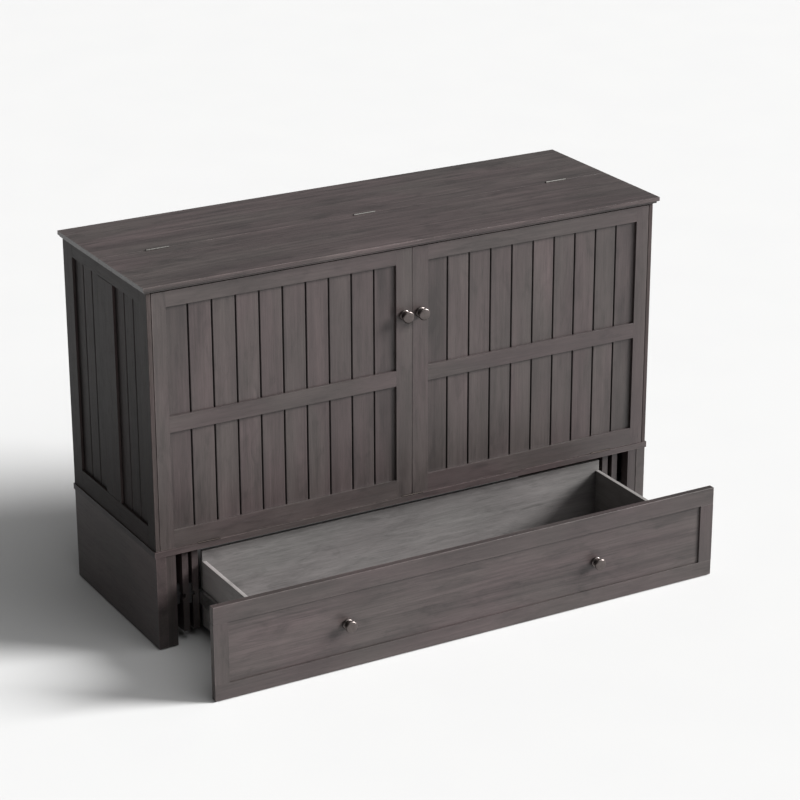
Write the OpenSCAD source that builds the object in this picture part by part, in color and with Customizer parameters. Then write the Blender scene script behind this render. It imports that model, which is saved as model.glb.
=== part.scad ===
// Cabinet bed: a low chest that unfolds into a double bed, with a storage drawer in a telescoping base.
// Shown closed, with its drawer pulled out.
// X runs along the front, Y towards the back, Z up. The origin is on the floor, under the middle of
// the whole object's outline, which takes in the open drawer and its knobs.

/* [Cabinet] */
// Width over the side boards
body_w = 1640; // [1500:10:1800]
// Depth from the face of the front panel to the back
body_d = 572; // [560:2:620]
// Height of the closed cabinet
body_h = 1084; // [1070:2:1120]
// Thickness of the side boards
side_t = 30; // [26:1:34]
// Underside of the board that carries the bed platform
deck_z = 285; // [285:1:300]
// Thickness of that board
deck_t = 18; // [18:1:22]

/* [Top] */
// Thickness of the top
top_t = 19; // [16:1:22]
// Overhang of the top at the front and sides
top_over = 14; // [10:1:20]

/* [Front panel] */
// Width of the side boards' lip beside the front panel
lip_w = 13; // [10:1:16]
// Thickness of the frame on the face of the panel
face_t = 19; // [17:1:22]
// Width of the outer stiles, as seen
stile_w = 43; // [38:1:60]
// Width of the stiles that meet in the middle
middle_stile_w = 52; // [40:1:60]
// Height of the bottom rail
bottom_rail_h = 54; // [45:1:70]
// Height of the middle rail
middle_rail_h = 47; // [35:1:60]
// Height of the middle rail's lower edge above the floor
middle_rail_z = 650; // [600:10:700]
// Number of boards in each half of the panel
boards_per_door = 10; // [6:1:12]

/* [Bed] */
// Thickness of each mattress pad
pad_t = 127; // [110:1:127]
// Length of the mattress pads along the bed
pad_l = 677; // [650:1:680]
// Width of the mattress
pad_w = 1524; // [1400:2:1524]

/* [Drawer] */
// How far the drawer stands open
drawer_open = 340; // [320:5:360]
// Length of the drawer box
box_l = 375; // [370:5:490]
// Thickness of the drawer front
front_t = 20; // [18:1:22]

/* [Hidden] */

// Colours
wood_c = "#5b5552";
shade_c = "#4a4542";
inner_c = "#8f8d8a";
ply_c = "#a89f92";
metal_c = "#3b3833";
steel_c = "#9a9a9a";
cloth_c = "#d9d6cf";
black_c = "#222222";

half_w = body_w / 2;
play = 1;                                  // gap between parts that move past each other
joint = 0.1;                               // half of the hairline between glued members
floor_gap = 3;                             // thickness of the glides under the cabinet
knob_l = 30;                               // how far a knob stands out
back_over = 1;                             // overhang of the top at the back
front_recess = 5;                          // depth of the drawer front's panel behind its frame
front_y = -(drawer_open + front_t - front_recess + knob_l);
mid_y = (front_y + body_d + back_over) / 2;

deck_top = deck_z + deck_t;                // top of the bottom board
panel_bottom = deck_top + play;
panel_axis_z = deck_top + play / 2;
top_z = body_h - top_t;                    // underside of the top
panel_top = top_z - 5;
platform_t = 9;                            // plywood on the back of the front panel
panel_t = face_t + platform_t;
panel_half_w = half_w - lip_w - 1.5;
platform_z = panel_axis_z + panel_t;       // height of the open bed platform
rebate = 10;                               // overlap of boards behind their frames
recess = 8;                                // depth of the boards behind the frame's face

// Hinges
leaf_t = 1.5;
leaf_gap = 0.4;
hinge_l = 70;
hinge_pitch = half_w - 163;
barrel_r = 3.2;
panel_barrel_r = 2.2;                      // small enough to hide in the seam under the panel
pin_clearance = 0.05;
top_seam_y = (body_d + back_over - top_over) / 2;
top_axis_z = body_h + 0.5;

// Foot decks
foot_w = 1520;
foot_t = 45;
foot_1_l = 365;
foot_2_l = 345;
foot_1_y = panel_t + play;
foot_2_y = foot_1_y + foot_t + play;
foot_axis_1_y = panel_t + play / 2;
foot_axis_2_y = foot_2_y - play / 2;
foot_axis_2_z = panel_top - foot_1_l;

// Base frames, from outside to inside
post_w = 30;
frame_t = 19;
frame_gap = 13;
outer_x = half_w - 87;                     // outer face of the outer frame
inner_x = outer_x - frame_t - frame_gap;   // outer face of the inner frame
slide_x = inner_x - frame_t;               // inner face of the inner frame
box_x = slide_x - frame_gap;               // outer face of the drawer box
frame_bottom = 30;
frame_top = deck_z - 1.5;
guide_z = 140;
outer_front = 20;
inner_front = 24;
outer_back = 550;
inner_back = 528;
wheel_r = 20;
wheel_y = 120;
stub_r = 4;

// Drawer
box_t = 12;
box_bottom = 30;
box_top = 232;
box_back_top = 264;                        // the back stands higher than the sides
slide_z = 125;
drawer_y = -drawer_open;                   // back face of the drawer front
knob_z = 136;
door_knob_z = 863;
door_knob_x = middle_stile_w / 2;
drawer_knob_x = body_w / 4;

// Puts a part that is drawn from the front face of the cabinet into the object's frame
module place() {
    translate([0, -mid_y, 0]) children();
}

// A box between two corners
module block(low, high) {
    translate(low) cube(high - low);
}

// Draws its children on one side or on the other: -1 is the left
module on_side(side) {
    if (side < 0) children();
    else mirror([1, 0, 0]) children();
}

// ---- Hinges ----
// A butt hinge with its pin along X through the origin and its leaves hanging down side by side.
// Leaf a is behind the seam and carries three knuckles and the pin, leaf b is in front of it.
knuckles = 5;
knuckle_l = hinge_l / knuckles;

module knuckle_set(first, r) {
    for (i = [first : 2 : knuckles - 1])
        translate([-hinge_l / 2 + i * knuckle_l + 0.2, 0, 0])
            rotate([0, 90, 0]) cylinder(r = r, h = knuckle_l - 0.4, $fn = 32);
}

module leaf_plate(first, r, leaf_w) {
    block([-hinge_l / 2, leaf_gap / 2, -leaf_w], [hinge_l / 2, leaf_gap / 2 + leaf_t, -r - 0.4]);
    for (i = [first : 2 : knuckles - 1])
        block([-hinge_l / 2 + i * knuckle_l + 0.2, leaf_gap / 2, -r - 0.5],
              [-hinge_l / 2 + (i + 1) * knuckle_l - 0.2, leaf_gap / 2 + leaf_t, -r / 3]);
}

module hinge_leaf_a(r, leaf_w) {
    union() {
        knuckle_set(0, r);
        leaf_plate(0, r, leaf_w);
        translate([-hinge_l / 2 + 0.2, 0, 0])
            rotate([0, 90, 0]) cylinder(r = r / 2, h = hinge_l - 0.4, $fn = 32);
    }
}

module hinge_leaf_b(r, leaf_w) {
    difference() {
        union() {
            knuckle_set(1, r);
            mirror([0, 1, 0]) leaf_plate(1, r, leaf_w);
        }
        translate([-hinge_l / 2, 0, 0])
            rotate([0, 90, 0]) cylinder(r = r / 2 + pin_clearance, h = hinge_l, $fn = 32);
    }
}

// Room for a hinge's barrel and leaves, cut out of the boards that it joins
module hinge_room(r, leaf_w) {
    rotate([0, 90, 0]) translate([0, 0, -hinge_l / 2 - 0.5]) cylinder(r = r + 0.6, h = hinge_l + 1, $fn = 32);
    block([-hinge_l / 2 - 0.5, -leaf_t - leaf_gap / 2, -leaf_w],
          [hinge_l / 2 + 0.5, leaf_t + leaf_gap / 2, 0]);
}

module at_hinges(y, z, turn) {
    for (i = [-1 : 1])
        translate([i * hinge_pitch, y, z]) rotate([turn, 0, 0]) children();
}

module at_top_hinges() at_hinges(top_seam_y, top_axis_z, 0) children();
module at_panel_hinges() at_hinges(0, panel_axis_z, 90) children();
module at_foot_hinges_1() at_hinges(foot_axis_1_y, panel_top, 0) children();
module at_foot_hinges_2() at_hinges(foot_axis_2_y, foot_axis_2_z, 180) children();

top_leaf_w = 15;
panel_leaf_w = 24;
foot_leaf_w = 24;

// ---- Sides ----
side_front_stile = 48;
side_back_stile = 64;
side_panel_w = 180;
side_rail_top = 1020;
side_rail_bottom = 365;
side_mid_y = side_front_stile + side_panel_w;
side_mid_w = body_d - side_front_stile - side_back_stile - 2 * side_panel_w;
side_windows = [side_front_stile, side_mid_y + side_mid_w];

// The rebate that holds the boards behind the side's frame
module side_rebates() {
    for (y = side_windows)
        block([-half_w + recess, y - rebate, side_rail_bottom - rebate],
              [-half_w + side_t + 1, y + side_panel_w + rebate, side_rail_top + rebate]);
}

module side_frame() {
    difference() {
        union() {
            block([-half_w, 0, deck_top], [-half_w + side_t, side_front_stile, top_z]);
            block([-half_w, side_mid_y, side_rail_bottom + joint],
                  [-half_w + side_t, side_mid_y + side_mid_w, side_rail_top - joint]);
            block([-half_w, body_d - side_back_stile, deck_top], [-half_w + side_t, body_d, top_z]);
            block([-half_w, side_front_stile + joint, side_rail_top + joint],
                  [-half_w + side_t, body_d - side_back_stile - joint, top_z]);
            block([-half_w, side_front_stile + joint, deck_top],
                  [-half_w + side_t, body_d - side_back_stile - joint, side_rail_bottom - joint]);
        }
        side_rebates();
        // The front panel closes into this rebate
        block([-half_w + lip_w, -1, deck_top - 1], [-half_w + side_t + 1, panel_t + play, top_z + 1]);
        // The back panel lies in this one
        block([-half_w + side_t - rebate, body_d - 6, deck_top - 1], [-half_w + side_t + 1, body_d + 1, top_z + 1]);
    }
}

module side_frame_left() color(shade_c) place() side_frame();
module side_frame_right() color(wood_c) place() on_side(1) side_frame();

// A board's V-shaped groove, along Z, cut into the face that looks along -Y
module v_groove(z0, z1) {
    translate([0, 0, z0]) linear_extrude(z1 - z0) polygon([[-3, -0.01], [3, -0.01], [0.6, 5], [-0.6, 5]]);
}

module side_infill(y) {
    low = side_rail_bottom - rebate;
    high = side_rail_top + rebate;
    difference() {
        block([-half_w + recess, y - rebate, low], [-half_w + recess + 11, y + side_panel_w + rebate, high]);
        for (i = [1, 2])
            translate([-half_w + recess, y + i * side_panel_w / 3, 0]) rotate([0, 0, -90]) v_groove(low, high);
    }
}

module side_boards() color(shade_c) place() {
    for (side = [-1, 1], y = side_windows) on_side(side) side_infill(y);
}

module back_panel() color(shade_c) place()
    block([-half_w + side_t - rebate, body_d - 6, deck_top], [half_w - side_t + rebate, body_d, top_z]);

// ---- Top ----
// Two layers, of which the lower one is set in, so that the edge has a step
module top_slab(y0, y1, step_y, low_z) {
    step = 6;
    union() {
        block([-half_w - top_over + step, y0 + step_y * step, low_z],
              [half_w + top_over - step, y1, top_z + 7]);
        block([-half_w - top_over, y0, top_z + 7], [half_w + top_over, y1, body_h]);
    }
}

module top_rear() color(wood_c) place() difference() {
    top_slab(top_seam_y + play / 2, body_d + back_over, 0, top_z);
    at_top_hinges() hinge_room(barrel_r, top_leaf_w);
}

module lid() color(wood_c) place() difference() {
    top_slab(-top_over, top_seam_y - play / 2, 1, top_z + 0.3);
    at_top_hinges() hinge_room(barrel_r, top_leaf_w);
}

module top_hinges_fixed() color(steel_c) place() at_top_hinges() hinge_leaf_a(barrel_r, top_leaf_w);
module top_hinges_moving() color(steel_c) place() at_top_hinges() hinge_leaf_b(barrel_r, top_leaf_w);

// ---- Bottom board and base ----
module bottom_board() color(wood_c) place() difference() {
    block([-half_w - 4, -2, deck_z], [half_w + 4, body_d, deck_top]);
    at_panel_hinges() hinge_room(panel_barrel_r, panel_leaf_w);
}

module base_side() block([-half_w, 0, floor_gap], [-half_w + side_t, body_d, deck_z]);
module base_side_left() color(shade_c) place() base_side();
module base_side_right() color(wood_c) place() on_side(1) base_side();

post_recess = 1.5;
module base_posts() color(wood_c) place()
    for (side = [-1, 1], y = [post_recess, body_d - 46]) on_side(side)
        block([-half_w + side_t, y, floor_gap], [-half_w + side_t + post_w, y + 34, deck_z]);

module base_back_rail() color(shade_c) place()
    block([-half_w + side_t, body_d - 12, 60], [half_w - side_t, body_d, deck_z]);

module floor_glides() color(black_c) place()
    for (x = [-1, 1], y = [30, body_d - 30])
        translate([x * (half_w - side_t), y, 0]) cylinder(r = 14, h = floor_gap, $fn = 32);

// Runners that carry the outer frame: a tongue on each runs in a groove of the frame
tongue_h = 10;
tongue_l = 7.5;
module guide(x0, x1, y0, y1) {
    union() {
        block([x0, y0, guide_z - 30], [x1, y1, guide_z + 30]);
        block([x1 - 0.1, y0, guide_z - tongue_h / 2], [x1 + tongue_l, y1, guide_z + tongue_h / 2]);
    }
}

module base_guides() color(ply_c) place()
    for (side = [-1, 1]) on_side(side)
        guide(-half_w + side_t, -outer_x - play, 40, body_d - 52);

// ---- Bed platform and mattress ----
bearer_w = 40;
bearer_h = platform_z - deck_top - 12;
module deck_bearers() color(ply_c) place()
    for (x = [-2 : 2])
        translate([x * (half_w - side_t - bearer_w) / 2, 0, 0])
            block([-bearer_w / 2, 34, deck_top], [bearer_w / 2, 560, deck_top + bearer_h]);

deck_slat_w = 68;
module deck_slats() color(ply_c) place()
    for (i = [0 : 5])
        translate([0, 34 + i * 91.6, 0])
            block([-half_w + side_t + 2, 0, platform_z - 12], [half_w - side_t - 2, deck_slat_w, platform_z]);

pad_back_y = body_d - 6 - 8;
module pad(i) color(cloth_c) place()
    translate([0, pad_back_y - pad_t - i * (pad_t + 0.6), 0])
        block([-pad_w / 2, 0, platform_z + 0.3], [pad_w / 2, pad_t, platform_z + pad_l]);
module mattress_head() pad(0);
module mattress_middle() pad(1);
module mattress_foot() pad(2);

// ---- Front panel ----
door_inner_x = 0.5;
window_x0 = -half_w + lip_w + stile_w;
window_x1 = -middle_stile_w;
window_top = 1015;

// Left half, seen from the front: the other half mirrors it
module door_frame() difference() {
    union() {
        block([-panel_half_w, 0, panel_bottom], [window_x0, face_t, panel_top]);
        block([window_x1, 0, panel_bottom], [-door_inner_x, face_t, panel_top]);
        block([window_x0 + joint, 0, panel_bottom],
              [window_x1 - joint, face_t, panel_bottom + bottom_rail_h]);
        block([window_x0 + joint, 0, middle_rail_z],
              [window_x1 - joint, recess, middle_rail_z + middle_rail_h]);
        block([window_x0 + joint, 0, window_top], [window_x1 - joint, face_t, panel_top]);
    }
    block([window_x0 - rebate, recess, panel_bottom + bottom_rail_h - rebate],
          [window_x1 + rebate, face_t + 1, window_top + rebate]);
    at_panel_hinges() hinge_room(panel_barrel_r, panel_leaf_w);
    translate([-door_knob_x, -1, door_knob_z]) rotate([-90, 0, 0]) cylinder(r = 2.6, h = face_t + 2, $fn = 24);
}

module door_boards() {
    low = panel_bottom + bottom_rail_h - rebate;
    high = window_top + rebate;
    pitch = 72;
    first = window_x0 + (window_x1 - window_x0 - pitch * (boards_per_door - 2)) / 2;
    difference() {
        block([window_x0 - rebate, recess, low], [window_x1 + rebate, face_t, high]);
        for (i = [0 : boards_per_door - 2])
            translate([first + i * pitch, recess, 0]) v_groove(low, high);
    }
}

module door_frame_left() color(wood_c) place() door_frame();
module door_frame_right() color(wood_c) place() on_side(1) door_frame();
module door_boards_left() color(wood_c) place() door_boards();
module door_boards_right() color(wood_c) place() on_side(1) door_boards();

module panel_platform() color(ply_c) place() difference() {
    block([-panel_half_w, face_t, panel_bottom], [panel_half_w, panel_t, panel_top]);
    at_panel_hinges() hinge_room(panel_barrel_r, panel_leaf_w);
    at_foot_hinges_1() hinge_room(barrel_r, foot_leaf_w);
    for (side = [-1, 1]) translate([side * door_knob_x, face_t - 1, door_knob_z])
        rotate([-90, 0, 0]) cylinder(r = 6.5, h = platform_t + 2, $fn = 24);
}

module panel_hinges_moving() color(metal_c) place()
    at_panel_hinges() hinge_leaf_a(panel_barrel_r, panel_leaf_w);
module panel_hinges_fixed() color(metal_c) place()
    at_panel_hinges() hinge_leaf_b(panel_barrel_r, panel_leaf_w);
module foot_hinges_panel() color(steel_c) place() at_foot_hinges_1() hinge_leaf_b(barrel_r, foot_leaf_w);

// ---- Knobs ----
// A turned knob with a flat round head and a wide foot, along -Y, with its foot at the origin
function arc(cx, cy, rx, ry, a0, a1, n) =
    [for (i = [0 : n]) let (a = a0 + (a1 - a0) * i / n) [cx + rx * cos(a), cy + ry * sin(a)]];
module knob() {
    foot_r = 16;
    foot_edge = 3.8;
    neck_r = 7.5;
    head_r = 18;
    head_edge = 4.5;
    rotate([90, 0, 0]) difference() {
        rotate_extrude($fn = 48) polygon(concat(
            [[0, 0]],
            arc(foot_r - foot_edge, foot_edge, foot_edge, foot_edge, -90, 90, 8),
            [[neck_r, 2 * foot_edge + 0.5], [neck_r, 16.5]],
            arc(head_r - head_edge, knob_l - 1 - head_edge, head_edge, head_edge, -75, 80, 10),
            [[9, knob_l - 0.4], [0, knob_l]]));
        translate([0, 0, -1]) cylinder(r = 2.1, h = 13, $fn = 24);
    }
}

// The machine screw that holds a knob from behind
module knob_screw(depth) {
    rotate([90, 0, 0]) union() {
        translate([0, 0, -depth]) cylinder(r = 2.05, h = depth + 11, $fn = 24);
        translate([0, 0, -depth - 2.5]) cylinder(r = 4.5, h = 2.5, $fn = 24);
    }
}

module door_knob(side) color(metal_c) place() translate([side * door_knob_x, 0, door_knob_z]) knob();
module door_knob_left() door_knob(-1);
module door_knob_right() door_knob(1);
module door_knob_screws() color(steel_c) place()
    for (side = [-1, 1]) translate([side * door_knob_x, 0, door_knob_z]) knob_screw(face_t);

module drawer_knob(side) color(metal_c) place()
    translate([side * drawer_knob_x, drawer_y - front_t + front_recess, knob_z]) knob();
module drawer_knob_left() drawer_knob(-1);
module drawer_knob_right() drawer_knob(1);
module drawer_knob_screws() color(steel_c) place()
    for (side = [-1, 1]) translate([side * drawer_knob_x, drawer_y - front_t + front_recess, knob_z])
        knob_screw(front_t - front_recess);

// ---- Foot decks ----
rail_w = 34;
foot_slat_t = 11;

// A frame of two long rails and five cross bearers, which leave room for the slats.
// The slats are at slat_y, and the frame reaches from y0 to y0 + foot_t.
module foot_frame(y0, z0, z1, slats_first) {
    bearer_y = slats_first ? y0 + foot_slat_t : y0;
    block([-foot_w / 2, y0, z0 + play / 2], [foot_w / 2, y0 + foot_t, z0 + rail_w]);
    block([-foot_w / 2, y0, z1 - rail_w], [foot_w / 2, y0 + foot_t, z1 - play / 2]);
    for (i = [-2 : 2]) translate([i * (foot_w - rail_w) / 4, 0, 0])
        block([-rail_w / 2, bearer_y, z0 + rail_w + joint],
              [rail_w / 2, bearer_y + foot_t - foot_slat_t, z1 - rail_w - joint]);
}

module foot_slats(y0, z0, z1) {
    slats = 4;
    space = z1 - z0 - 2 * rail_w;
    slat_w = 52;
    gap = (space - slats * slat_w) / (slats + 1);
    for (i = [0 : slats - 1])
        translate([0, 0, z0 + rail_w + gap + i * (slat_w + gap)])
            block([-foot_w / 2, y0, 0], [foot_w / 2, y0 + foot_slat_t, slat_w]);
}

foot_2_top = foot_axis_2_z + foot_2_l;
module foot_deck_1_frame() color(ply_c) place() difference() {
    union() foot_frame(foot_1_y, foot_axis_2_z, panel_top, true);
    at_foot_hinges_1() hinge_room(barrel_r, foot_leaf_w);
    at_foot_hinges_2() hinge_room(barrel_r, foot_leaf_w);
}
module foot_deck_2_frame() color(ply_c) place() difference() {
    union() foot_frame(foot_2_y, foot_axis_2_z, foot_2_top, false);
    at_foot_hinges_2() hinge_room(barrel_r, foot_leaf_w);
}
module foot_deck_1_slats() color(ply_c) place() foot_slats(foot_1_y, foot_axis_2_z, panel_top);
module foot_deck_2_slats() color(ply_c) place()
    foot_slats(foot_2_y + foot_t - foot_slat_t, foot_axis_2_z, foot_2_top);
module foot_hinges_deck_1() color(steel_c) place() {
    at_foot_hinges_1() hinge_leaf_a(barrel_r, foot_leaf_w);
    at_foot_hinges_2() hinge_leaf_a(barrel_r, foot_leaf_w);
}
module foot_hinges_deck_2() color(steel_c) place() at_foot_hinges_2() hinge_leaf_b(barrel_r, foot_leaf_w);

// ---- Telescoping base frames ----
module guide_groove(x, y0, y1) {
    block([-x - 1, y0 - 1, guide_z - tongue_h / 2 - 1], [-x + tongue_l, y1 + 1, guide_z + tongue_h / 2 + 1]);
}

// A stub axle on the inner face of a frame's side
module stub(x) {
    translate([-x, wheel_y, wheel_r + 1]) rotate([0, 90, 0]) cylinder(r = stub_r, h = 11.5, $fn = 32);
}

module frame_side(x, y0, y1) {
    union() {
        difference() {
            block([-x, y0, frame_bottom], [-x + frame_t, y1, frame_top]);
            guide_groove(x, y0, y1);
        }
        // A block under the board carries the stub axle
        block([-x + frame_t - 8, wheel_y - 16, 12], [-x + frame_t, wheel_y + 16, frame_bottom + 0.1]);
        stub(x - frame_t);
    }
}

module outer_frame_left() color(shade_c) place() frame_side(outer_x, outer_front, outer_back);
module outer_frame_right() color(wood_c) place() on_side(1) frame_side(outer_x, outer_front, outer_back);
module outer_frame_back() color(shade_c) place()
    block([-outer_x + frame_t, outer_back - frame_t, frame_bottom],
          [outer_x - frame_t, outer_back, frame_top]);
module outer_frame_guides() color(ply_c) place()
    for (side = [-1, 1]) on_side(side) guide(-outer_x + frame_t, -inner_x - play, 30, outer_back - frame_t);
module inner_frame_left() color(shade_c) place() frame_side(inner_x, inner_front, inner_back);
module inner_frame_right() color(wood_c) place() on_side(1) frame_side(inner_x, inner_front, inner_back);
module inner_frame_back() color(shade_c) place()
    block([-inner_x + frame_t, inner_back - frame_t, frame_bottom],
          [inner_x - frame_t, inner_back, frame_top]);

module wheel(x) {
    translate([-x + 0.75, wheel_y, wheel_r + 1]) rotate([0, 90, 0]) difference() {
        rotate_extrude($fn = 64) polygon([
            [0, 0], [wheel_r - 2, 0], [wheel_r, 2], [wheel_r, 8], [wheel_r - 2, 10], [0, 10]]);
        translate([0, 0, -1]) cylinder(r = stub_r + 0.08, h = 12, $fn = 32);
    }
}
module outer_wheels() color(black_c) place()
    for (side = [-1, 1]) on_side(side) wheel(outer_x - frame_t);
module inner_wheels() color(black_c) place()
    for (side = [-1, 1]) on_side(side) wheel(inner_x - frame_t);

// ---- Drawer slides ----
// A channel that is open towards one side: half_h is half its height
module channel(x0, x1, web_x, half_h, y0, y1) {
    t = 1.2;
    union() {
        block([web_x, y0, slide_z - half_h], [web_x + t, y1, slide_z + half_h]);
        block([x0, y0, slide_z - half_h], [x1, y1, slide_z - half_h + t]);
        block([x0, y0, slide_z + half_h - t], [x1, y1, slide_z + half_h]);
    }
}

slide_l = box_l - 10;
slide_x0 = -slide_x;
module drawer_slide_fixed() color(black_c) place()
    for (side = [-1, 1]) on_side(side)
        channel(slide_x0, slide_x0 + 9.5, slide_x0, 22.5, inner_front + 4, inner_front + 4 + slide_l);
module drawer_slide_middle() color(steel_c) place()
    for (side = [-1, 1]) on_side(side)
        channel(slide_x0 + 2, slide_x0 + 10.5, slide_x0 + 2, 20.3,
                inner_front + 4 - drawer_open / 2, inner_front + 4 - drawer_open / 2 + slide_l - 20);
module drawer_slide_moving() color(black_c) place()
    for (side = [-1, 1]) on_side(side)
        channel(slide_x0 + 4.5, slide_x0 + frame_gap, slide_x0 + frame_gap - 1.2, 18,
                drawer_y + inner_front + 4, drawer_y + inner_front + 4 + slide_l - 20);

// ---- Drawer ----
front_bottom = 3;
front_top = deck_z - 1;
front_stile = 45;
front_top_rail = 52;
front_bottom_rail = 47;
front_face = drawer_y - front_t;

module drawer_front_frame() color(wood_c) place() difference() {
    union() {
        for (side = [-1, 1]) on_side(side)
            block([-half_w, front_face, front_bottom + front_bottom_rail + joint],
                  [-half_w + front_stile, drawer_y, front_top - front_top_rail - joint]);
        block([-half_w, front_face, front_bottom], [half_w, drawer_y, front_bottom + front_bottom_rail]);
        block([-half_w, front_face, front_top - front_top_rail], [half_w, drawer_y, front_top]);
    }
    block([-half_w + front_stile - rebate, front_face + front_recess, front_bottom + front_bottom_rail - rebate],
          [half_w - front_stile + rebate, drawer_y + 1, front_top - front_top_rail + rebate]);
}

module drawer_front_panel() color(wood_c) place() difference() {
    block([-half_w + front_stile - rebate, front_face + front_recess, front_bottom + front_bottom_rail - rebate],
          [half_w - front_stile + rebate, drawer_y, front_top - front_top_rail + rebate]);
    for (side = [-1, 1]) translate([side * drawer_knob_x, front_face, knob_z])
        rotate([-90, 0, 0]) cylinder(r = 2.6, h = front_t + 2, $fn = 24);
}

box_back_y = drawer_y + box_l;
bottom_z = 38;
bottom_t = 6;
box_back_face = box_back_y - box_t;
module drawer_side() difference() {
    block([-box_x, drawer_y, box_bottom], [-box_x + box_t, box_back_face, box_top]);
    block([-box_x + box_t - 6, drawer_y - 1, bottom_z],
          [-box_x + box_t + 1, box_back_face + 1, bottom_z + bottom_t]);
}
module drawer_side_left() color(inner_c) place() drawer_side();
module drawer_side_right() color(inner_c) place() on_side(1) drawer_side();
module drawer_back() color(inner_c) place()
    block([-box_x, box_back_face, box_bottom], [box_x, box_back_y, box_back_top]);
module drawer_bottom() color(inner_c) place()
    block([-box_x + box_t - 6, drawer_y, bottom_z], [box_x - box_t + 6, box_back_face, bottom_z + bottom_t]);

side_frame_left();
side_frame_right();
side_boards();
back_panel();
top_rear();
bottom_board();
base_side_left();
base_side_right();
base_posts();
base_back_rail();
deck_bearers();
deck_slats();
mattress_head();
mattress_middle();
mattress_foot();
base_guides();
top_hinges_fixed();
panel_hinges_fixed();
floor_glides();
lid();
top_hinges_moving();
door_frame_left();
door_frame_right();
door_boards_left();
door_boards_right();
panel_platform();
door_knob_left();
door_knob_right();
door_knob_screws();
panel_hinges_moving();
foot_hinges_panel();
foot_deck_1_frame();
foot_deck_1_slats();
foot_hinges_deck_1();
foot_deck_2_frame();
foot_deck_2_slats();
foot_hinges_deck_2();
outer_frame_left();
outer_frame_right();
outer_frame_back();
outer_frame_guides();
inner_frame_left();
inner_frame_right();
inner_frame_back();
drawer_slide_fixed();
outer_wheels();
inner_wheels();
drawer_slide_middle();
drawer_front_frame();
drawer_front_panel();
drawer_side_left();
drawer_side_right();
drawer_back();
drawer_bottom();
drawer_knob_left();
drawer_knob_right();
drawer_knob_screws();
drawer_slide_moving();
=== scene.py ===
"""Looks of the cabinet bed: wood, metal and fabric materials, soft edges, mattress pads, light and camera."""
import math

import bmesh
import bpy
from mathutils import Matrix, Vector, noise
from mathutils.bvhtree import BVHTree


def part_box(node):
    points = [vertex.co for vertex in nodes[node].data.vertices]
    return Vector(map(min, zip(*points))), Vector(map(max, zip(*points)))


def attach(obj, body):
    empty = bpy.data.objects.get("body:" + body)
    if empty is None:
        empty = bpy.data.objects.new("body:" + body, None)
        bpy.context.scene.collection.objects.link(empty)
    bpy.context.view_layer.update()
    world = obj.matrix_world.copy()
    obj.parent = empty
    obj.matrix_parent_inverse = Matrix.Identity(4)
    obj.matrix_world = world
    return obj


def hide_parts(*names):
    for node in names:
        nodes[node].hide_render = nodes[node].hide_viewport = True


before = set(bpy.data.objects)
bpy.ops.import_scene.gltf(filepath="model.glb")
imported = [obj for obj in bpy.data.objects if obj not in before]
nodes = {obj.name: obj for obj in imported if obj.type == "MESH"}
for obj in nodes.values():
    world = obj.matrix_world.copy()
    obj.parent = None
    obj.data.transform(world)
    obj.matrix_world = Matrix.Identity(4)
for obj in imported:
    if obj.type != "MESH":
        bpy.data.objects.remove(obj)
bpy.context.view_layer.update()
scene = bpy.context.scene
MM = 0.001


# ---- Node trees ----

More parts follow.
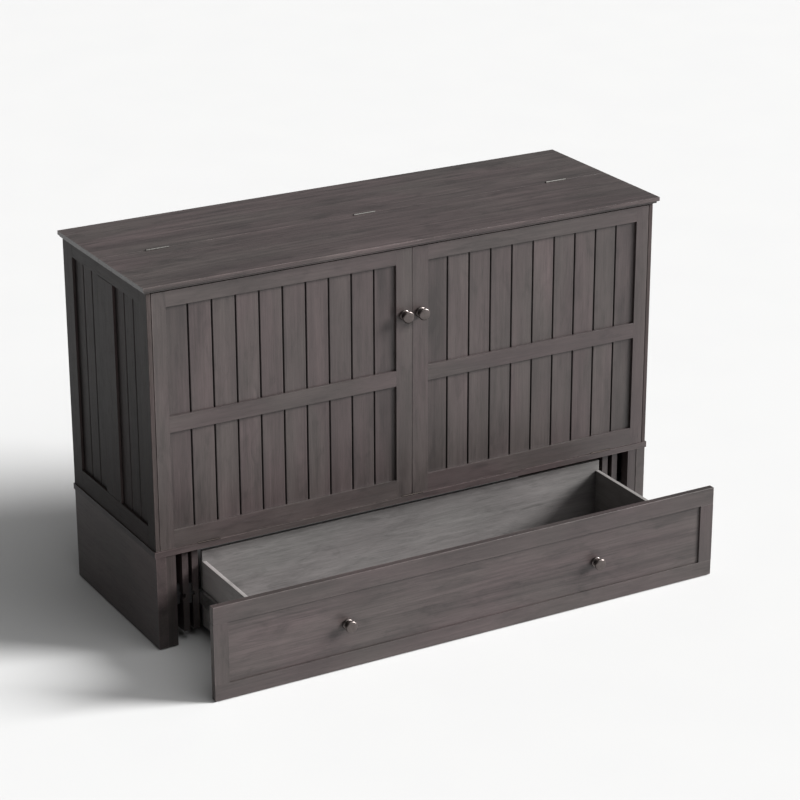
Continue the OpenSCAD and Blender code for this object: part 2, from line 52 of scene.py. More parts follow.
class Tree:
    """The node tree of a new material. Most methods add a node and return its output."""

    def __init__(self, name, **uniform):
        self.material = bpy.data.materials.new(name)
        self.material.use_nodes = True
        self.tree = self.material.node_tree
        self.shader = self.tree.nodes["Principled BSDF"]
        for socket, value in uniform.items():
            self.shader.inputs[socket.replace("_", " ")].default_value = value
        coordinates = self.node("TexCoord").outputs
        self.at = coordinates["Object"]
        self.normal = coordinates["Normal"]

    def node(self, kind, inputs=None, **settings):
        made = self.tree.nodes.new("ShaderNode" + kind)
        for name, value in settings.items():
            setattr(made, name, value)
        for key, value in (inputs or {}).items():
            self.feed(made.inputs[key], value)
        return made

    def feed(self, socket, value):
        if isinstance(value, bpy.types.NodeSocket):
            self.tree.links.new(value, socket)
        else:
            socket.default_value = value

    def math(self, operation, a, b=0.0):
        return self.node("Math", {0: a, 1: b}, operation=operation).outputs[0]

    def product(self, *values):
        result = values[0]
        for value in values[1:]:
            result = self.math("MULTIPLY", result, value)
        return result

    def most(self, *values):
        result = values[0]
        for value in values[1:]:
            result = self.math("MAXIMUM", result, value)
        return result

    def xyz(self, vector=None):
        return self.node("SeparateXYZ", {0: vector or self.at}).outputs

    def absolute(self, value):
        return self.math("ABSOLUTE", value)

    def vector(self, x, y, z):
        return self.node("CombineXYZ", {0: x, 1: y, 2: z}).outputs[0]

    def scaled(self, vector, x, y, z):
        return self.node("VectorMath", {0: vector, 1: (x, y, z)}, operation="MULTIPLY").outputs[0]

    def added(self, a, b):
        return self.node("VectorMath", {0: a, 1: b}, operation="ADD").outputs[0]

    def noise(self, vector, scale=1.0, detail=2.0, roughness=0.5, distortion=0.0):
        return self.node("TexNoise", {"Vector": vector, "Scale": scale, "Detail": detail,
                                      "Roughness": roughness, "Distortion": distortion}).outputs[0]

    def fibres(self, vector, across, lengthwise, **settings):
        """Noise drawn out along the third coordinate, with so many cells to the metre each way"""
        return self.noise(self.scaled(vector, across, across, lengthwise), **settings)

    def span(self, value, low, high, to_low=0.0, to_high=1.0):
        """value brought from low..high to to_low..to_high, and held there"""
        return self.node("MapRange", {0: value, 1: low, 2: high, 3: to_low, 4: to_high}).outputs[0]

    def between(self, value, low, high):
        """1 where value lies between low and high"""
        return self.product(self.math("GREATER_THAN", value, low), self.math("LESS_THAN", value, high))

    def mix(self, factor, a, b, blend="MIX"):
        return self.node("Mix", {0: factor, 6: a, 7: b}, data_type="RGBA", blend_type=blend).outputs[2]

    def pick(self, factor, a, b):
        """Number a where factor is 0, and number b where it is 1"""
        return self.node("Mix", {0: factor, 2: a, 3: b}).outputs[0]

    def choose(self, factor, a, b):
        """Vector a where factor is 0, and vector b where it is 1"""
        return self.node("Mix", {0: factor, 4: a, 5: b}, data_type="VECTOR").outputs[1]

    def finish(self, color, roughness, height=None, distance=0.0, strength=1.0):
        """Joins them to the shader, height as a bump that is distance high, and returns the material"""
        self.feed(self.shader.inputs["Base Color"], color)
        self.feed(self.shader.inputs["Roughness"], roughness)
        if height:
            made = self.node("Bump", {"Height": height, "Distance": distance, "Strength": strength})
            self.feed(self.shader.inputs["Normal"], made.outputs[0])
        return self.material


# ---- Wood ----

GRAIN = {"X": (2, 1, 0), "Y": (0, 2, 1), "Z": (0, 1, 2)}    # the order that puts the grain's axis third
CHARCOAL = (0.0322, 0.0260, 0.0255, 1), (0.0620, 0.0505, 0.0495, 1)
DRAWER = (0.097, 0.092, 0.09, 1), (0.136, 0.130, 0.127, 1)
BIRCH = (0.36, 0.25, 0.145, 1), (0.56, 0.42, 0.27, 1)
WARM = (1.07, 0.972, 0.985, 1)
COOL = (1.0, 0.99, 0.96, 1)
FULL_WEAR_AND_HIGHLIGHT, NO_WEAR_OR_HIGHLIGHT = 0.8 * MM, 3.2 * MM                      # distances from an edge, where its wear and painted highlight are full and where they end


def along(t, axis):
    """The object's own coordinates, with the grain's direction as the third"""
    parts = t.xyz()
    return t.vector(*(parts[i] for i in GRAIN[axis]))


def across(axis_a, axis_b, where):
    """Grain along axis_a, and along axis_b in the members that where(t) marks"""
    return lambda t: t.choose(where(t), along(t, axis_a), along(t, axis_b))


def edge_wear_and_highlight(t, low, high):
    """Up to 1 on the edges of the box from low to high and of its mirror image, and 0 inside its faces: where
    wear and a painted highlight lighten the edges
    """
    parts = t.xyz()
    parts = (t.absolute(parts[0]), parts[1], parts[2])
    a, b, c = (t.math("MINIMUM", t.math("SUBTRACT", parts[i], low[i]), t.math("SUBTRACT", high[i], parts[i]))
               for i in range(3))
    middle = t.math("MAXIMUM", t.math("MINIMUM", a, b), t.math("MINIMUM", t.math("MAXIMUM", a, b), c))
    patchiness = t.noise(t.at, scale=55, detail=3, roughness=0.6)
    return t.product(t.span(middle, FULL_WEAR_AND_HIGHLIGHT, NO_WEAR_OR_HIGHLIGHT, 1.0, 0.0), t.span(patchiness, 0.35, 0.6, 0.25, 1.0))


def stained_wood(name, place, low, high, board=None, dark=None, worn=None, tone=1.0, gloss=0.42,
                 figure_gain=1.0, tint=1.0, stain=0.72, turned=None, **uniform):
    """Open-grained wood, stained from color low in the figure to color high between it. place(t) gives the
    coordinates with the grain third, board(t) a number for each board, and dark(t) is 1 where painted shade
    is full, as deep in a groove. The edges of the box of node worn are rubbed and lightened: wear with a
    painted highlight. turned is an axis, and how bright the faces across it are, as painted shade or painted
    light.
    gloss is the roughness, figure_gain the figure's contrast, and stain how bright the stains are."""
    t = Tree(name, **uniform)
    chance = t.node("TexWhiteNoise", {"W": board(t) if board else 0.5}, noise_dimensions="1D").outputs
    at = t.added(place(t), t.scaled(chance["Color"], 3, 3, 9))

    figure = t.fibres(at, 38, 1.5, detail=3, roughness=0.6, distortion=0.5)
    streaks = t.fibres(at, 190, 4.2, detail=4, roughness=0.62)
    flecks = t.fibres(at, 330, 22, detail=2)
    pores = t.span(t.fibres(at, 900, 24, detail=2), 0.57, 0.72)
    clouds = t.fibres(at, 8, 3.0, detail=3, roughness=0.55)
    stains = t.fibres(at, 24, 7.0, detail=4, roughness=0.65, distortion=0.8)
    hue = t.fibres(at, 6, 2.4, detail=2)

    light = t.math("ADD", t.product(figure, 0.5), t.product(streaks, 0.5))
    swing = 0.2 / figure_gain
    color = t.mix(t.span(light, 0.5 - swing, 0.5 + swing), low, high)
    warm = t.mix(tint, color, WARM, "MULTIPLY")
    cool = t.mix(tint, color, COOL, "MULTIPLY")
    color = t.mix(t.span(hue, 0.4, 0.6), cool, warm)
    level = t.product(t.span(clouds, 0.3, 0.7, 0.82 * tone, 1.16 * tone),
                      t.span(chance["Value"], 0, 1, 0.93, 1.07),
                      t.span(stains, 0.52, 0.7, 1.0, stain),
                      t.span(flecks, 0.35, 0.65, 0.93, 1.07),
                      t.span(pores, 0, 1, 1.0, 0.72))
    # dark darkens the wood where painted shade goes: in grooves, along seams and beside frames
    if dark:
        level = t.product(level, t.span(dark(t), 0, 1, 1.0, 0.2))
    # worn lightens the rubbed edges: wear, and a painted highlight where light catches them
    if worn:
        level = t.product(level, t.span(edge_wear_and_highlight(t, *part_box(worn)), 0, 1, 1.0, 1.6))
    # turned scales the faces across an axis: painted shade where below 1, painted light where above 1
    if turned:
        facing = t.absolute(t.xyz(t.normal)["XYZ".index(turned[0])])
        level = t.product(level, t.span(facing, 0.6, 0.8, 1.0, turned[1]))
    color = t.mix(1.0, color, t.vector(level, level, level), "MULTIPLY")

    height = t.math("SUBTRACT", t.product(streaks, 0.6), t.product(pores, 0.5))
    roughness = t.span(t.math("ADD", streaks, pores), 0.3, 1.4, gloss - 0.05, gloss + 0.16)
    return t.finish(color, roughness, height, 0.35 * MM, 0.6)


def charcoal(name, place, **details):
    """The dark stain of the cabinet, its drawer front and its base frames"""
    return stained_wood(name, place, *CHARCOAL, **details)


def long_grain(t):
    return along(t, "X")


def deep_grain(t):
    return along(t, "Y")


def upright_grain(t):
    return along(t, "Z")


def paint(material, *names):
    """Gives the CAD nodes of those names the material, in place of their own"""
    for name in names:
        slots = nodes[name].data.materials
        slots.clear()
        slots.append(material)


# Places on the object
REBATE = 10 * MM            # how far the boards reach behind their frames
DOOR_BOARD = 72 * MM        # from one groove to the next
FIRST_BOARD = 68 * MM       # from the meeting stile to the first groove
SIDE_BOARD = 60 * MM
DECK_PITCH = 91.6 * MM      # from one slat to the next
FOOT_PITCH = 62 * MM
SHALLOW, DEEP = 0.3 * MM, 2.0 * MM      # where the painted shade in a groove starts, and where it is full
FRAME_LINE, LINE_END = 1 * MM, 5 * MM   # the line of painted shade along a stile, and where it has faded out
PATCH, PATCH_END = 40 * MM, 75 * MM     # the same for the patches of painted shade beside it
SEAM, SEAM_END = 1 * MM, 4 * MM         # and for the painted shade in the seam between the door frames
door_low, door_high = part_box("door_boards_right")
side_low, side_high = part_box("side_boards")
drawer_low, drawer_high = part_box("drawer_front_panel")


def door_rails(t):
    """1 in the rails of the front panel's two frames, and 0 in their stiles"""
    x = t.absolute(t.xyz()[0])
    return t.between(x, door_low.x + REBATE, door_high.x - REBATE)


def side_rails(t):
    """1 in the rails of the side frames"""
    parts = t.xyz()
    inside = t.between(parts[2], side_low.z + REBATE, side_high.z - REBATE)
    return t.product(t.math("SUBTRACT", 1.0, inside),
                     t.between(parts[1], side_low.y + REBATE, side_high.y - REBATE))


def drawer_stiles(t):
    """1 in the stiles of the drawer front's frame"""
    parts = t.xyz()
    return t.product(t.between(parts[2], drawer_low.z + REBATE, drawer_high.z - REBATE),
                     t.math("GREATER_THAN", t.absolute(parts[0]), drawer_high.x - REBATE))


def side_of(t):
    """1 on the right, and 0 on the left"""
    return t.math("GREATER_THAN", t.xyz()[0], 0.0)


def door_board(t):
    """The number of the board in the front panel, which is negative on the left"""
    x = t.xyz()[0]
    first = door_low.x + REBATE + FIRST_BOARD - DOOR_BOARD
    number = t.math("FLOOR", t.math("DIVIDE", t.math("SUBTRACT", t.absolute(x), first), DOOR_BOARD))
    return t.math("MULTIPLY", t.math("ADD", number, 1.0), t.math("SIGN", x))


def door_painted_shade(t):
    """Painted shade: in the grooves, in a line along the stiles, and in faint patches on the boards beside
    them
    """
    parts = t.xyz()
    x = t.absolute(parts[0])
    groove = t.span(parts[1], door_low.y + SHALLOW, door_low.y + DEEP)
    from_frame = t.math("MINIMUM", t.absolute(t.math("SUBTRACT", x, door_low.x + REBATE)),
                        t.absolute(t.math("SUBTRACT", x, door_high.x - REBATE)))
    outer_board = t.span(from_frame, PATCH, PATCH_END, 1.0, 0.0)
    patch = t.span(t.noise(t.scaled(t.at, 9, 9, 3)), 0.35, 0.6, 0.12, 0.5)
    line = t.span(from_frame, FRAME_LINE, LINE_END, 0.6, 0.0)
    return t.most(groove, t.product(outer_board, patch), line)


def door_seam_shade(t):
    """Painted shade along the seam between the two door frames"""
    return t.span(t.absolute(t.xyz()[0]), SEAM, SEAM_END, 0.5, 0.0)


def side_groove_shade(t):
    """Painted shade in the grooves of the side boards"""
    return t.span(t.absolute(t.xyz()[0]), side_high.x - DEEP, side_high.x - SHALLOW, 1.0, 0.0)


def side_board(t):
    """The number of the board in a side, from 20 up on the right"""
    y = t.math("SUBTRACT", t.xyz()[1], side_low.y + REBATE)
    return t.math("ADD", t.math("FLOOR", t.math("DIVIDE", y, SIDE_BOARD)), t.product(side_of(t), 20.0))


def numbered(axis, pitch):
    """A number for each slat in a row"""
    return lambda t: t.math("FLOOR", t.math("DIVIDE", t.xyz()[axis], pitch))


# The cabinet's sides carry painted shade on their faces across X and are the least glossy, and the faces
# across X at the boards' ends, their end grain, are darker too
SIDE_SHADE = {"turned": ("X", 0.33), "gloss": 0.5, "Specular_IOR_Level": 0.15}
END_GRAIN = ("X", 0.35)

# worn below lightens a part's edges, as wear and as a painted highlight
for half in ("lid", "top_rear"):
    paint(charcoal(half + " wood", long_grain, worn=half, turned=END_GRAIN, tone=0.98, gloss=0.3,
                   figure_gain=1.9, stain=0.6), half)
paint(charcoal("bottom board wood", long_grain, worn="bottom_board", turned=END_GRAIN, tone=0.88),
      "bottom_board")
# The door frames carry painted shade along their seam, and the door boards carry painted shade in their
# grooves, along the stiles and in patches beside them
paint(charcoal("door frame wood", across("Z", "X", door_rails), board=side_of, dark=door_seam_shade,
               worn="door_frame_right", figure_gain=0.7), "door_frame_left", "door_frame_right")
paint(charcoal("door board wood", upright_grain, board=door_board, dark=door_painted_shade),
      "door_boards_left", "door_boards_right")
# The side frames and side boards are darker on their faces across X: painted shade
paint(charcoal("side frame wood", across("Z", "Y", side_rails), board=side_of, worn="side_frame_right",
               **SIDE_SHADE), "side_frame_left", "side_frame_right")
# The side boards carry painted shade in their grooves
paint(charcoal("side board wood", upright_grain, board=side_board, dark=side_groove_shade, **SIDE_SHADE), "side_boards")
paint(charcoal("drawer frame wood", across("X", "Z", drawer_stiles), worn="drawer_front_frame", tone=0.87),
      "drawer_front_frame")
paint(charcoal("drawer front wood", long_grain, tone=0.89, figure_gain=1.7, stain=0.65), "drawer_front_panel")
paint(charcoal("base side wood", deep_grain, board=side_of, worn="base_side_right", tone=0.9),
      "base_side_left", "base_side_right")
paint(charcoal("base frame wood", deep_grain, board=side_of, tone=0.8),
      "outer_frame_left", "outer_frame_right", "inner_frame_left", "inner_frame_right")
# The back's parts are lighter than the rest of the stain: painted light for the back, which stands in shade
paint(charcoal("long wood", long_grain, tone=1.15), "back_panel", "base_back_rail", "outer_frame_back",
      "inner_frame_back")
paint(charcoal("post wood", upright_grain, board=side_of, tone=0.75), "base_posts")
paint(charcoal("drawer bottom wood", long_grain, tone=0.9), "drawer_bottom")


def pale_wood(name, place, colors, **details):
    """Grey-washed or bare wood, dull and even in hue"""
    return stained_wood(name, place, *colors, gloss=0.5, tint=0.3, **details)


# The drawer sides are a little lighter on their faces across Z, the top edges: a painted highlight
paint(pale_wood("drawer side wood", deep_grain, DRAWER, board=side_of, tone=2.1, turned=("Z", 1.05)),
      "drawer_side_left", "drawer_side_right")
paint(pale_wood("drawer back wood", long_grain, DRAWER, worn="drawer_back"), "drawer_back")
paint(pale_wood("bearer wood", deep_grain, BIRCH), "deck_bearers")
paint(pale_wood("deck slat wood", long_grain, BIRCH, board=numbered(1, DECK_PITCH)), "deck_slats")
paint(pale_wood("foot slat wood", long_grain, BIRCH, board=numbered(2, FOOT_PITCH)),
      "foot_deck_1_slats", "foot_deck_2_slats")
paint(pale_wood("foot frame wood", long_grain, BIRCH, tone=0.92), "foot_deck_1_frame", "foot_deck_2_frame")


PLY = 1.5 * MM              # thickness


def plywood():
    """Birch plywood: its plies show on the edges, which face away from the panel's Y"""
    t = Tree("plywood")
    at = upright_grain(t)
    figure = t.fibres(at, 26, 1.2, detail=4, roughness=0.6, distortion=1.2)
    streaks = t.fibres(at, 300, 7, detail=3)
    face = t.mix(t.span(figure, 0.35, 0.65), (0.40, 0.29, 0.175, 1), (0.54, 0.42, 0.28, 1))
    face = t.mix(t.span(streaks, 0.35, 0.7, 0.0, 0.5), face, (0.36, 0.25, 0.15, 1))
    ply = t.math("PINGPONG", t.xyz()[1], PLY)
    edge = t.mix(t.span(ply, 0.4 * MM, 1.1 * MM), (0.22, 0.14, 0.08, 1), (0.50, 0.38, 0.25, 1))
    facing = t.absolute(t.xyz(t.normal)[1])
    color = t.mix(t.math("GREATER_THAN", facing, 0.6), edge, face)
    return t.finish(color, t.span(streaks, 0.3, 0.7, 0.5, 0.62), streaks, 0.15 * MM, 0.5)


paint(plywood(), "panel_platform")


# ---- Metal and plastic ----

def shade_of(color, level):
    """color at another brightness, and opaque"""
    return tuple(c * level for c in color[:3]) + (1,)


def metal(name, base, roughness, axis="X"):
    """Brushed along axis, with faint smudges"""
    t = Tree(name, Metallic=1.0)
    brush = t.fibres(along(t, axis), 2600, 60, detail=2)
    smudge = t.noise(t.at, scale=60, detail=4, roughness=0.65)
    color = t.mix(t.span(smudge, 0.4, 0.7), base, shade_of(base, 0.75))
    rough = t.math("ADD", t.span(smudge, 0.3, 0.7, roughness - 0.06, roughness + 0.1), t.product(brush, 0.05))
    return t.finish(color, rough, brush, 0.03 * MM, 0.5)


def speckled(name, color, roughness, grain_size):
    """Paint or moulded plastic with a fine even texture, and lighter scuffs"""
    t = Tree(name)
    texture = t.noise(t.at, scale=1 / grain_size, detail=3, roughness=0.6)
    scuffs = t.fibres(t.at, 40, 160, detail=4, roughness=0.7)
    lighter = tuple(c * 1.8 + 0.01 for c in color[:3]) + (1,)
    shade = t.mix(t.span(scuffs, 0.5, 0.75), color, lighter)
    rough = t.span(scuffs, 0.3, 0.7, roughness - 0.08, roughness + 0.08)
    return t.finish(shade, rough, texture, 0.06 * MM, 0.5)


paint(metal("pewter", (0.13, 0.112, 0.107, 1), roughness=0.3), "door_knob_left", "door_knob_right",
      "drawer_knob_left", "drawer_knob_right")
paint(metal("dull steel", (0.11, 0.105, 0.10, 1), roughness=0.5), "top_hinges_fixed", "top_hinges_moving")
paint(metal("zinc steel", (0.27, 0.26, 0.25, 1), roughness=0.5), "foot_hinges_panel", "foot_hinges_deck_1",
      "foot_hinges_deck_2", "door_knob_screws", "drawer_knob_screws")
paint(metal("slide steel", (0.60, 0.60, 0.60, 1), roughness=0.3, axis="Y"), "drawer_slide_middle")
paint(metal("bronze", (0.06, 0.05, 0.045, 1), roughness=0.42), "panel_hinges_fixed", "panel_hinges_moving")
paint(speckled("black paint", (0.02, 0.02, 0.02, 1), roughness=0.42, grain_size=0.5 * MM),
      "drawer_slide_fixed", "drawer_slide_moving")
paint(speckled("nylon", (0.035, 0.035, 0.036, 1), roughness=0.55, grain_size=0.8 * MM),
      "floor_glides", "outer_wheels", "inner_wheels", "base_guides", "outer_frame_guides")


# ---- Soft edges on the boards ----

TOP_EDGE = 2.2 * MM
BOARD_EDGE = 1.2 * MM
STEEL_EDGE = 0.3 * MM


def soften(name, width):
    """Rounds a CAD node's edges with modifiers, over a mesh that stays as it is"""
    weld = nodes[name].modifiers.new("Weld", "WELD")
    weld.merge_threshold = 0.01 * MM        # makes the faces share their corners
    bevel = nodes[name].modifiers.new("Bevel", "BEVEL")
    bevel.width = width
    bevel.segments = 2
    bevel.limit_method = "ANGLE"
    bevel.angle_limit = math.radians(40)
    bevel.harden_normals = True


for board in ("lid", "top_rear", "bottom_board"):
    soften(board, TOP_EDGE)
for board in ("side_frame_left", "side_frame_right", "side_boards", "door_frame_left", "door_frame_right",
              "door_boards_left", "door_boards_right", "drawer_front_frame", "drawer_side_left",
              "drawer_side_right", "drawer_back", "base_side_left", "base_side_right", "base_posts",
              "outer_frame_left", "outer_frame_right", "outer_frame_back", "inner_frame_left",
              "inner_frame_right", "inner_frame_back", "deck_slats", "deck_bearers", "foot_deck_1_frame",
              "foot_deck_2_frame", "foot_deck_1_slats", "foot_deck_2_slats"):
    soften(board, BOARD_EDGE)
for member in ("drawer_slide_fixed", "drawer_slide_middle", "drawer_slide_moving"):
    soften(member, STEEL_EDGE)


# ---- Mattress pads ----

TICKING = (0.42, 0.405, 0.38, 1), (0.56, 0.545, 0.515, 1)
EDGING = (0.10, 0.098, 0.098, 1), (0.16, 0.157, 0.155, 1)
RIB, COURSE = 2.4 * MM, 1.8 * MM        # the knit's columns and rows
SWELL = 9 * MM              # how far the filling can push a cover out
RIM = 4 * MM                # kept free round the cover for the piping, inside the pad's own box
CORNER = 26 * MM            # width of the cover's round edges
NET = 14 * MM               # size of the cover's squares
PRESSURE = 4.0
STEPS = 20                  # of the cloth simulation
QUILTING = 84 * MM          # from one sewn channel to the next
SEAM_DEPTH, PUCKER, LUMP = 6.0 * MM, 2.0 * MM, 1.2 * MM
FLAT_RIM = 45 * MM          # the quilting fades out over this width at the rim
PIPING = 3.2 * MM           # radius
PIPING_INSET = 15 * MM      # from the wide face
PIPING_CORNER = 32 * MM     # radius of the piping's turns
PIPING_RISE = 0.4           # of its radius, which its middle stands above the cover


def knit(name, low, high):
    """Knitted cloth: fine ribs and courses on every face, with flecks of a darker yarn"""
    t = Tree(name, Sheen_Weight=0.3, Sheen_Roughness=0.45, Specular_IOR_Level=0.25)
    parts = t.xyz()
    facing = t.xyz(t.normal)
    along_x = t.math("LESS_THAN", t.absolute(facing[0]), 0.7)
    along_z = t.math("LESS_THAN", t.absolute(facing[2]), 0.7)
    u = t.pick(along_x, parts[1], parts[0])
    v = t.pick(along_z, parts[1], parts[2])
    ribs = t.math("SINE", t.product(u, math.tau / RIB))
    courses = t.math("SINE", t.math("ADD", t.product(v, math.tau / COURSE), t.product(ribs, 1.2)))
    loops = t.product(t.math("ADD", ribs, courses), 0.25)
    fuzz = t.noise(t.at, scale=900, detail=3, roughness=0.7)
    flecks = t.fibres(t.at, 260, 700, detail=2)
    wear = t.noise(t.at, scale=9, detail=4, roughness=0.6)
    worn = t.product(t.span(wear, 0.3, 0.7), 0.55)
    fuzzy = t.product(t.span(fuzz, 0.3, 0.7), 0.45)
    light = t.math("ADD", worn, fuzzy)
    color = t.mix(light, low, high)
    color = t.mix(t.span(flecks, 0.6, 0.72, 0.0, 0.35), color, shade_of(low, 0.45))
    height = t.math("ADD", loops, t.product(fuzz, 0.5))
    return t.finish(color, t.span(fuzz, 0.3, 0.7, 0.85, 0.97), height, 0.5 * MM, 0.7)


def object_of(name, data):
    """A new object in the scene, of a mesh, curve, light or camera"""
    made = bpy.data.objects.new(name, data)
    scene.collection.objects.link(made)
    return made


def with_modifiers(obj):
    """The mesh of obj with its modifiers applied"""
    graph = bpy.context.evaluated_depsgraph_get()
    return bpy.data.meshes.new_from_object(obj.evaluated_get(graph))


def sewn_cover(size):
    """An empty cover with round edges, centred on the origin, as an even net of squares"""
    form = bmesh.new()
    bmesh.ops.create_cube(form, size=1.0)
    bmesh.ops.scale(form, vec=size - Vector((2, 2, 2)) * SWELL, verts=form.verts)
    bmesh.ops.bevel(form, geom=form.edges[:], offset=CORNER, segments=4, profile=0.5, affect="EDGES")
    mesh = bpy.data.meshes.new("cover")
    form.to_mesh(mesh)
    form.free()
    cover = object_of("cover", mesh)
    net = cover.modifiers.new("Remesh", "REMESH")
    net.mode = "VOXEL"
    net.voxel_size = NET
    mesh = with_modifiers(cover)
    bpy.data.objects.remove(cover)
    return mesh


def fill(mesh):
    """Blows the cover up by cloth simulation. Its points come to rest within the swell."""
    start = [v.co.copy() for v in mesh.vertices]
    cover = object_of("cover", mesh)
    cloth = cover.modifiers.new("Cloth", "CLOTH")
    cloth.settings.use_pressure = True
    cloth.settings.uniform_pressure_force = PRESSURE
    cloth.settings.effector_weights.gravity = 0.0
    for step in range(STEPS):
        scene.frame_set(step + 1)
    filled = with_modifiers(cover)
    scene.frame_set(1)
    bpy.data.objects.remove(cover)
    for vertex, origin in zip(filled.vertices, start):
        move = vertex.co - origin
        if move.length > 0:
            vertex.co = origin + move * (SWELL * math.tanh(move.length / SWELL) / move.length)
    return filled


def fit(mesh, size):
    """Centres the mesh and makes it exactly that size"""
    low = Vector(min(v.co[i] for v in mesh.vertices) for i in range(3))
    high = Vector(max(v.co[i] for v in mesh.vertices) for i in range(3))
    scale = Vector(size[i] / (high[i] - low[i]) for i in range(3))
    for v in mesh.vertices:
        v.co = (v.co - (low + high) / 2) * scale


def smooth(value):
    """0 to 1, with no kink at either end"""
    value = min(1.0, max(0.0, value))
    return value * value * (3 - 2 * value)


def quilt(mesh, size, seed):
    """Pulls the two wide faces in along straight sewn channels, with small puckers beside the stitches"""
    half = size / 2
    facing = [abs(v.normal.y) for v in mesh.vertices]
    for v, turned in zip(mesh.vertices, facing):
        inside = smooth(min(half.x - abs(v.co.x), half.z - abs(v.co.z)) / FLAT_RIM)
        face = smooth(turned * 1.6 - 0.6) * inside
        pucker = noise.noise(Vector((v.co.x * 38, v.co.z * 9, seed)))
        lump = noise.noise(Vector((v.co.x * 7, seed, v.co.z * 7)))
        seam = (1 - abs(math.sin(math.pi * (v.co.z / QUILTING + 0.5)))) ** 1.6
        depth = (SEAM_DEPTH + PUCKER * pucker) * seam + LUMP * lump
        v.co.y -= math.copysign(max(0.0, depth) * face, v.co.y)


def rounded_ring(half_x, half_z, radius, y):
    """Points at most a spacing apart, round a rectangle with round corners"""
    spacing = 12 * MM
    steps = 8
    points = []
    for turn in range(4):
        side_x = 1 if turn in (0, 3) else -1
        side_z = 1 if turn in (0, 1) else -1
        for step in range(steps + 1):
            a = math.radians(90 * turn + 90 * step / steps)
            points.append(Vector((side_x * (half_x - radius) + radius * math.cos(a), y,
                                  side_z * (half_z - radius) + radius * math.sin(a))))
    ring = []
    for here, there in zip(points, points[1:] + points[:1]):
        count = max(1, math.ceil((there - here).length / spacing))
        ring += [here.lerp(there, i / count) for i in range(count)]
    return ring


def piping(name, mesh, size):
    """A cord sewn round both rims of a pad, as closed tubes that lie on its surface"""
    surface = BVHTree.FromPolygons([v.co for v in mesh.vertices], [p.vertices for p in mesh.polygons])
    cord = bpy.data.curves.new(name, "CURVE")
    cord.dimensions = "3D"
    cord.bevel_depth = 1.0          # times each point's radius
    cord.bevel_resolution = 2
    for side in (-1, 1):
        ring = rounded_ring(size.x / 2, size.z / 2, PIPING_CORNER, side * (size.y / 2 - PIPING_INSET))
        line = cord.splines.new("POLY")
        line.points.add(len(ring) - 1)
        line.use_cyclic_u = True
        for point, target in zip(line.points, ring):
            place, normal, _, _ = surface.find_nearest(target)
            point.co = (*(place + normal * PIPING_RISE * PIPING), 1.0)
            point.radius = PIPING
    return object_of(name, cord)


def mattress_pads():
    """Three pads of the same cut, stored upright behind the front panel"""
    ticking = knit("ticking", *TICKING)
    edging = knit("edging", *EDGING)
    low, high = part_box("mattress_head")
    size = high - low
    cover = size - Vector((2 * RIM, 0, 2 * RIM))
    form = sewn_cover(cover)
    form = fill(form)
    for seed, place in enumerate(("head", "middle", "foot")):
        pad = object_of("mattress_" + place + "_pad", form.copy())
        pad.modifiers.new("Subdivision", "SUBSURF").levels = 1
        pad.data = with_modifiers(pad)
        pad.modifiers.clear()
        fit(pad.data, cover)
        quilt(pad.data, cover, 10.0 * seed)
        pad.data.shade_smooth()
        pad.data.materials.append(ticking)
        cord = piping("mattress_" + place + "_piping", pad.data, cover)
        cord.data.materials.append(edging)
        cord.parent = pad
        low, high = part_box("mattress_" + place)
        pad.location = (low + high) / 2
        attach(pad, "cabinet")
        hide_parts("mattress_" + place)


mattress_pads()


# ---- Camera, floor and light ----

STAND = (-3.522, -6.239, 3.371)
LENS = 119.0
TURN, TILT, ROLL = -29.533, 68.624, -0.116      # degrees; a tilt of 90 looks level
FLOOR = (0.605, 0.605, 0.605, 1), (0.62, 0.62, 0.615, 1)
FLOOR_REACH = 60                                # metres each way
BRIGHT_SIDE = (0.6, 0.8, 0.0)                   # the direction in which the studio is brightest
DIM, BRIGHT = 0.10, 0.22                        # its strength on the far side and on that side
SHOWN = 0.93                                    # the studio's brightness as the camera sees it


def add_camera():
    """Stands in front on the left, above the object, and looks down at it"""
    data = bpy.data.cameras.new("camera")
    data.lens = LENS
    camera = object_of("camera", data)
    scene.camera = camera
    turn = Matrix.Rotation(math.radians(TURN), 4, "Z")
    tilt = Matrix.Rotation(math.radians(TILT), 4, "X")
    roll = Matrix.Rotation(math.radians(ROLL), 4, "Z")
    camera.matrix_world = Matrix.Translation(STAND) @ turn @ tilt @ roll


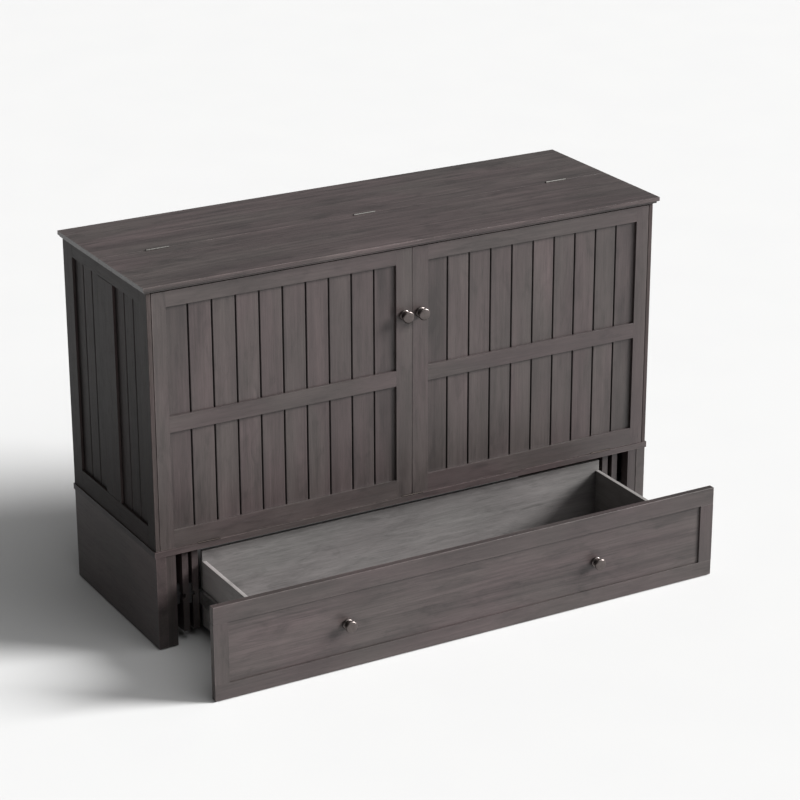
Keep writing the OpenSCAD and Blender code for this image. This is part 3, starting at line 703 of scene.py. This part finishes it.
def add_floor():
    """A pale, faintly mottled square"""
    data = bpy.data.meshes.new("floor")
    corners = [(x * FLOOR_REACH, y * FLOOR_REACH, 0) for x, y in ((-1, -1), (1, -1), (1, 1), (-1, 1))]
    data.from_pydata(corners, [], [(0, 1, 2, 3)])
    t = Tree("floor")
    mottle = t.noise(t.at, scale=3.0, detail=3)
    data.materials.append(t.finish(t.mix(mottle, *FLOOR), t.span(mottle, 0, 1, 0.8, 0.9)))
    object_of("floor", data)


def add_sun(name, strength, towards, softness):
    """Even light that comes from the direction towards"""
    data = bpy.data.lights.new(name, "SUN")
    data.energy = strength
    data.angle = math.radians(softness)
    lamp = object_of(name, data)
    lamp.rotation_euler = Vector(towards).to_track_quat("Z", "Y").to_euler()


def add_world():
    """A dim grey studio, darkest in front on the left, which the camera sees as pale as the floor"""
    world = bpy.data.worlds.new("studio")
    scene.world = world
    world.use_nodes = True
    tree = world.node_tree
    direction = tree.nodes.new("ShaderNodeTexCoord")
    towards = tree.nodes.new("ShaderNodeVectorMath")
    towards.operation = "DOT_PRODUCT"
    towards.inputs[1].default_value = BRIGHT_SIDE
    strength = tree.nodes.new("ShaderNodeMapRange")
    for socket, value in (("From Min", -0.9), ("From Max", 0.9), ("To Min", DIM), ("To Max", BRIGHT)):
        strength.inputs[socket].default_value = value
    tree.links.new(direction.outputs["Generated"], towards.inputs[0])
    tree.links.new(towards.outputs["Value"], strength.inputs[0])
    background = tree.nodes["Background"]
    background.inputs["Color"].default_value = (1, 1, 1, 1)
    path = tree.nodes.new("ShaderNodeLightPath")
    shown = tree.nodes.new("ShaderNodeMix")
    shown.inputs["B"].default_value = SHOWN
    tree.links.new(path.outputs["Is Camera Ray"], shown.inputs["Factor"])
    tree.links.new(strength.outputs[0], shown.inputs["A"])
    tree.links.new(shown.outputs[0], background.inputs["Strength"])


add_camera()
add_floor()
add_sun("key", strength=8.0, towards=(0.80, -0.42, 0.43), softness=22)
add_sun("fill", strength=1.1, towards=(0.3, -0.5, 0.8), softness=60)
add_world()
scene.view_settings.view_transform = "Standard"
